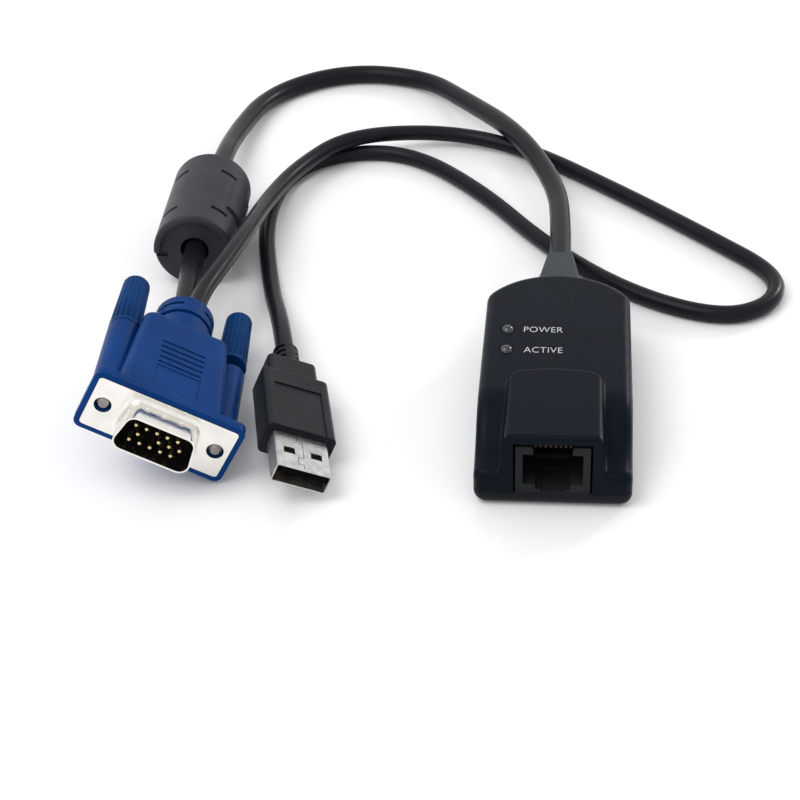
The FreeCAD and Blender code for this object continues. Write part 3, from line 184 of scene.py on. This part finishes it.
# Contact plating much darker than gold: painted shade of the contacts set back inside the jack's
# port.
CONTACT_IN_SHADE = metal("contact_plating_painted_shade", (0.035, 0.027, 0.014), (0.055, 0.042, 0.022), 0.35, 0.45)
# Screw metal darkened: painted shade standing for the shade of the screw ends and threads inside
# the plate's holes.
SCREW_IN_SHADE = metal("screw_metal_painted_shade", (0.20, 0.19, 0.18), (0.32, 0.31, 0.29), 0.22, 0.34)
TINNED = metal("tinned_shell", (0.40, 0.40, 0.39), (0.58, 0.58, 0.57), 0.34, 0.50, 0.0016)
CANS = metal("can_aluminium", (0.62, 0.63, 0.64), (0.74, 0.75, 0.76), 0.25, 0.35)
SHADOW = grained("seam_shadow", (0.003, 0.003, 0.003), (0.006, 0.006, 0.006),
                 0.0004, 0.00001, 0.7, 0.8, sheen=0.1)


def lamp_resin():
    surface = Surface("lamp_resin", Specular_IOR_Level=0.5, Coat_Weight=0.4, Coat_Roughness=0.05)
    surface.colour(surface.noise(0.002), (0.010, 0.011, 0.014), (0.020, 0.021, 0.027))
    surface.gloss(surface.noise(0.001), 0.05, 0.12)
    return surface


LAMP = lamp_resin()
LETTERS = grained("letter_ink", (0.50, 0.51, 0.53), (0.60, 0.61, 0.63), 0.0004, 0.00002, 0.5, 0.6)

LOOKS = {
    "top_cover": CASE, "bottom_cover": BASE, "circuit_board": BOARD, "controller_chip": CHIP,
    "video_chip": CHIP, "memory_chip": CHIP, "crystal": STEEL, "capacitors": CANS,
    "cable_header": HEADER, "header_wires": WIRE, "jack_body": JACK, "jack_contacts": CONTACT_IN_SHADE,
    "power_lamp": LAMP, "active_lamp": LAMP, "lamp_leads": STEEL, "case_screws": STEEL,
    "housing_strain_relief": RELIEF, "vga_face_shell": NICKEL, "vga_insulator": INSULATOR,
    "vga_pins": GOLD, "vga_core": INNER, "vga_hood": HOOD, "thumbscrew_left_grip": GRIP,
    "thumbscrew_right_grip": GRIP, "thumbscrew_left_screw": SCREW_IN_SHADE,
    "thumbscrew_right_screw": SCREW_IN_SHADE, "usb_shell": TINNED, "usb_tongue": INSULATOR,
    "usb_contacts": GOLD, "usb_core": INNER, "usb_overmould": USB_BODY,
    "ferrite_upper_cover": FERRITE, "ferrite_lower_cover": FERRITE, "ferrite_core": CERAMIC,
}
for name, look in LOOKS.items():
    mesh = nodes[name].data
    mesh.materials.clear()
    mesh.materials.append(look.material)


# ---------------------------------------------------------------- cables
MAIN_ROUTE = [
    (0.0, 48.86, 9.5), (0.0, 66.0, 8.9), (-1.5, 92.0, 7.6), (-13.0, 122.5, 8.2),
    (-28.5, 149.5, 4.6), (-42.5, 170.0, 2.75), (-67.5, 174.2, 2.75), (-88.2, 157.8, 2.75),
    (-92.9, 126.0, 5.0), (-91.65, 97.0, 10.05), (-89.5, 47.5, 10.05), (-85.75, 24.3, 13.1),
    (-84.85, 11.34, 13.1)]
USB_ROUTE = [
    (-81.1, 11.58, 17.0), (-81.5, 17.9, 17.0), (-79.0, 32.0, 16.8), (-76.6, 52.0, 14.9),
    (-76.0, 84.0, 7.9), (-71.3, 103.5, 6.6), (-60.0, 121.2, 7.2), (-34.5, 132.5, 3.4),
    (-11.0, 125.0, 2.15),
    (16.5, 97.5, 2.15), (37.5, 74.7, 2.15), (52.8, 57.1, 2.15), (50.5, 43.1, 2.15),
    (37.9, 36.6, 2.15), (17.5, 46.6, 2.15), (-3.0, 68.5, 2.15), (-21.5, 98.5, 2.15),
    (-41.7, 120.5, 2.15), (-60.7, 121.5, 2.15), (-75.0, 109.0, 2.15), (-77.8, 82.0, 2.15),
    (-70.3, 45.5, 2.15), (-64.1, 23.5, 6.9), (-61.1, 10.05, 6.9)]
MM = 0.001


def cable(name, route, diameter, node):
    """A smooth round cable through the route's points, in place of a CAD node."""
    curve = bpy.data.curves.new(name, "CURVE")
    curve.dimensions = "3D"
    spline = curve.splines.new("NURBS")
    spline.points.add(len(route) - 1)
    for point, place in zip(spline.points, route):
        point.co = (*(value * MM for value in place), 1.0)
    spline.order_u = 3
    spline.use_endpoint_u = True
    spline.resolution_u = 14
    curve.bevel_depth = diameter / 2
    curve.bevel_resolution = 6
    curve.use_fill_caps = True
    curve.materials.append(JACKET.material)
    piece = bpy.data.objects.new(name, curve)
    scene.collection.objects.link(piece)
    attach(piece, "dongle")
    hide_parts(node)
    return piece


main = cable("main_cable_jacket", MAIN_ROUTE, 0.0052, "main_cable")
light = cable("usb_cable_jacket", USB_ROUTE, 0.0042, "usb_cable")


# ---------------------------------------------------------------- letters beside the lamps
DECK, INK = 0.0155, 0.00001
LETTER_HEIGHT, CAPITAL_SHARE = 0.0022, 0.7


def letters(text, place, height, width):
    """Flat printed capitals, drawn to the height and the width given."""
    data = bpy.data.curves.new("letters_" + text.lower(), "FONT")
    data.body = text
    data.size = height / CAPITAL_SHARE
    data.offset = -0.000035
    data.extrude = INK
    data.space_character = 1.04
    data.materials.append(LETTERS.material)
    piece = bpy.data.objects.new("letters_" + text.lower(), data)
    piece.location = place
    scene.collection.objects.link(piece)
    bpy.context.view_layer.update()
    piece.scale.x = width / piece.dimensions.x
    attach(piece, "dongle")


letters("POWER", (-0.0075, 0.0081, DECK + INK), LETTER_HEIGHT, 0.0085)
letters("ACTIVE", (-0.0071, -0.0001, DECK + INK), LETTER_HEIGHT, 0.0083)


# ---------------------------------------------------------------- threads of the thumbscrews
def plug_frame(place, yaw, roll):
    """A plug's own axes (across, along and up) from its place in mm and its turns in degrees."""
    turn = (Matrix.Rotation(math.radians(yaw), 4, "Z")
            @ Matrix.Rotation(math.radians(roll), 4, "Y"))
    return Matrix.Translation(Vector(place) * MM) @ turn


def placed_mesh(name, frame_here, points, faces, look, body):
    """A mesh from points in mm in a plug's own axes, riding on a body."""
    mesh = bpy.data.meshes.new(name)
    mesh.from_pydata([frame_here @ (Vector(point) * MM) for point in points], [], faces)
    mesh.validate()
    mesh.materials.append(look.material)
    piece = bpy.data.objects.new(name, mesh)
    scene.collection.objects.link(piece)
    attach(piece, body)


VGA_FRAME = plug_frame((-80.8, -30.3, 14.7), 4.0, 29.1)
USB_FRAME = plug_frame((-51.05, -35.9, 6.9), 12.3, 25.3)
SCREW_SIDE = 12.495
THREAD_CORE, THREAD_CREST, THREAD_PITCH, THREAD_STEPS = 1.40, 1.60, 0.6, 28
ROOT_SINK, RIDGE_HALF = 0.05, 0.26


def thread(name, body, across, start, length):
    """A helical ridge round a screw's end, as one closed strip of mesh."""
    points, faces = [], []
    count = int(length / THREAD_PITCH * THREAD_STEPS)
    root = THREAD_CORE - ROOT_SINK
    for index in range(count + 1):
        angle = 2 * math.pi * index / THREAD_STEPS
        along = start + THREAD_PITCH * index / THREAD_STEPS
        fade = min(1.0, index / THREAD_STEPS, (count - index) / THREAD_STEPS)
        ridge = THREAD_CORE + (THREAD_CREST - THREAD_CORE) * fade
        for radius, shift in ((root, -RIDGE_HALF), (ridge, 0.0), (root, RIDGE_HALF)):
            points.append((across + radius * math.cos(angle), along + shift,
                           radius * math.sin(angle)))
    for index in range(count):
        low, high = 3 * index, 3 * (index + 1)
        for side in range(3):
            other = (side + 1) % 3
            faces.append((low + side, low + other, high + other, high + side))
    faces.append((0, 2, 1))
    faces.append((3 * count, 3 * count + 1, 3 * count + 2))
    placed_mesh(name, VGA_FRAME, points, faces, SCREW_IN_SHADE, body)


thread("left_screw_thread", "left_thumbscrew", -SCREW_SIDE, 0.75, 5.6)
thread("right_screw_thread", "right_thumbscrew", SCREW_SIDE, 0.9, 5.2)


# ---------------------------------------------------------------- seam of the USB shell
SEAM_LINE = [(-1.1, 11.3), (-1.1, 10.0), (0.1, 10.0), (0.1, 4.1), (-1.15, 4.1), (-1.15, 1.85),
             (-0.1, 1.85), (-0.1, 0.4)]
SEAM_HALF, SEAM_LOW, SEAM_HIGH = 0.06, 2.24, 2.262
BOX_FACES = ((3, 2, 1, 0), (4, 5, 6, 7), (0, 1, 5, 4), (1, 2, 6, 5), (2, 3, 7, 6), (3, 0, 4, 7))


def usb_seam():
    """The folded sheet's dovetailed joint: thin dark strips lying on the shell's top."""
    points, faces = [], []
    for (x0, y0), (x1, y1) in zip(SEAM_LINE, SEAM_LINE[1:]):
        left, right = min(x0, x1) - SEAM_HALF, max(x0, x1) + SEAM_HALF
        front, rear = min(y0, y1) - SEAM_HALF, max(y0, y1) + SEAM_HALF
        first = len(points)
        points += [(x, y, z) for z in (SEAM_LOW, SEAM_HIGH) for x, y in
                   ((left, front), (right, front), (right, rear), (left, rear))]
        faces += [tuple(first + corner for corner in face) for face in BOX_FACES]
    placed_mesh("usb_shell_seam", USB_FRAME, points, faces, SHADOW, "dongle")


usb_seam()


# ---------------------------------------------------------------- floor and light
FLOOR_HALF = 3.0
AMBIENT = 0.80
AIM = Vector((-0.02, 0.04, 0))
LAMPS = (("key", (0.60, 0.70, 0.38), 2.2, 0.12), ("fill", (-0.45, -0.25, 0.80), 4.5, 0.7))


def stage():
    """The floor, the world and the lamps."""
    mesh = bpy.data.meshes.new("floor")
    size = FLOOR_HALF
    mesh.from_pydata([(-size, -size, 0), (size, -size, 0), (size, size, 0), (-size, size, 0)],
                     [], [(0, 1, 2, 3)])
    floor = bpy.data.objects.new("floor", mesh)
    surface = Surface("floor_white", Base_Color=(0.93, 0.93, 0.94, 1), Roughness=0.35)
    mesh.materials.append(surface.material)
    scene.collection.objects.link(floor)
    make_world()
    for name, place, power, size in LAMPS:
        data = bpy.data.lights.new(name, "AREA")
        data.energy, data.size = power, size
        lamp = bpy.data.objects.new(name, data)
        lamp.location = place
        lamp.rotation_euler = (AIM - Vector(place)).to_track_quat("-Z", "Y").to_euler()
        scene.collection.objects.link(lamp)


def make_world():
    """White to camera, glossy and transmission rays, and a softer level of light on the object."""
    world = bpy.data.worlds.new("studio")
    scene.world = world
    world.use_nodes = True
    tree = world.node_tree
    light_here = tree.nodes["Background"]
    white = tree.nodes.new("ShaderNodeBackground")
    for background, strength in ((light_here, AMBIENT), (white, 1.0)):
        background.inputs["Color"].default_value = (1, 1, 1, 1)
        background.inputs["Strength"].default_value = strength
    path = tree.nodes.new("ShaderNodeLightPath")
    seen = path.outputs["Is Camera Ray"]
    for ray in ("Is Transmission Ray", "Is Glossy Ray"):
        either = tree.nodes.new("ShaderNodeMath")
        either.operation = "MAXIMUM"
        tree.links.new(seen, either.inputs[0])
        tree.links.new(path.outputs[ray], either.inputs[1])
        seen = either.outputs["Value"]
    mix = tree.nodes.new("ShaderNodeMixShader")
    tree.links.new(seen, mix.inputs["Fac"])
    tree.links.new(light_here.outputs["Background"], mix.inputs[1])
    tree.links.new(white.outputs["Background"], mix.inputs[2])
    tree.links.new(mix.outputs["Shader"], tree.nodes["World Output"].inputs["Surface"])


stage()
make_camera()
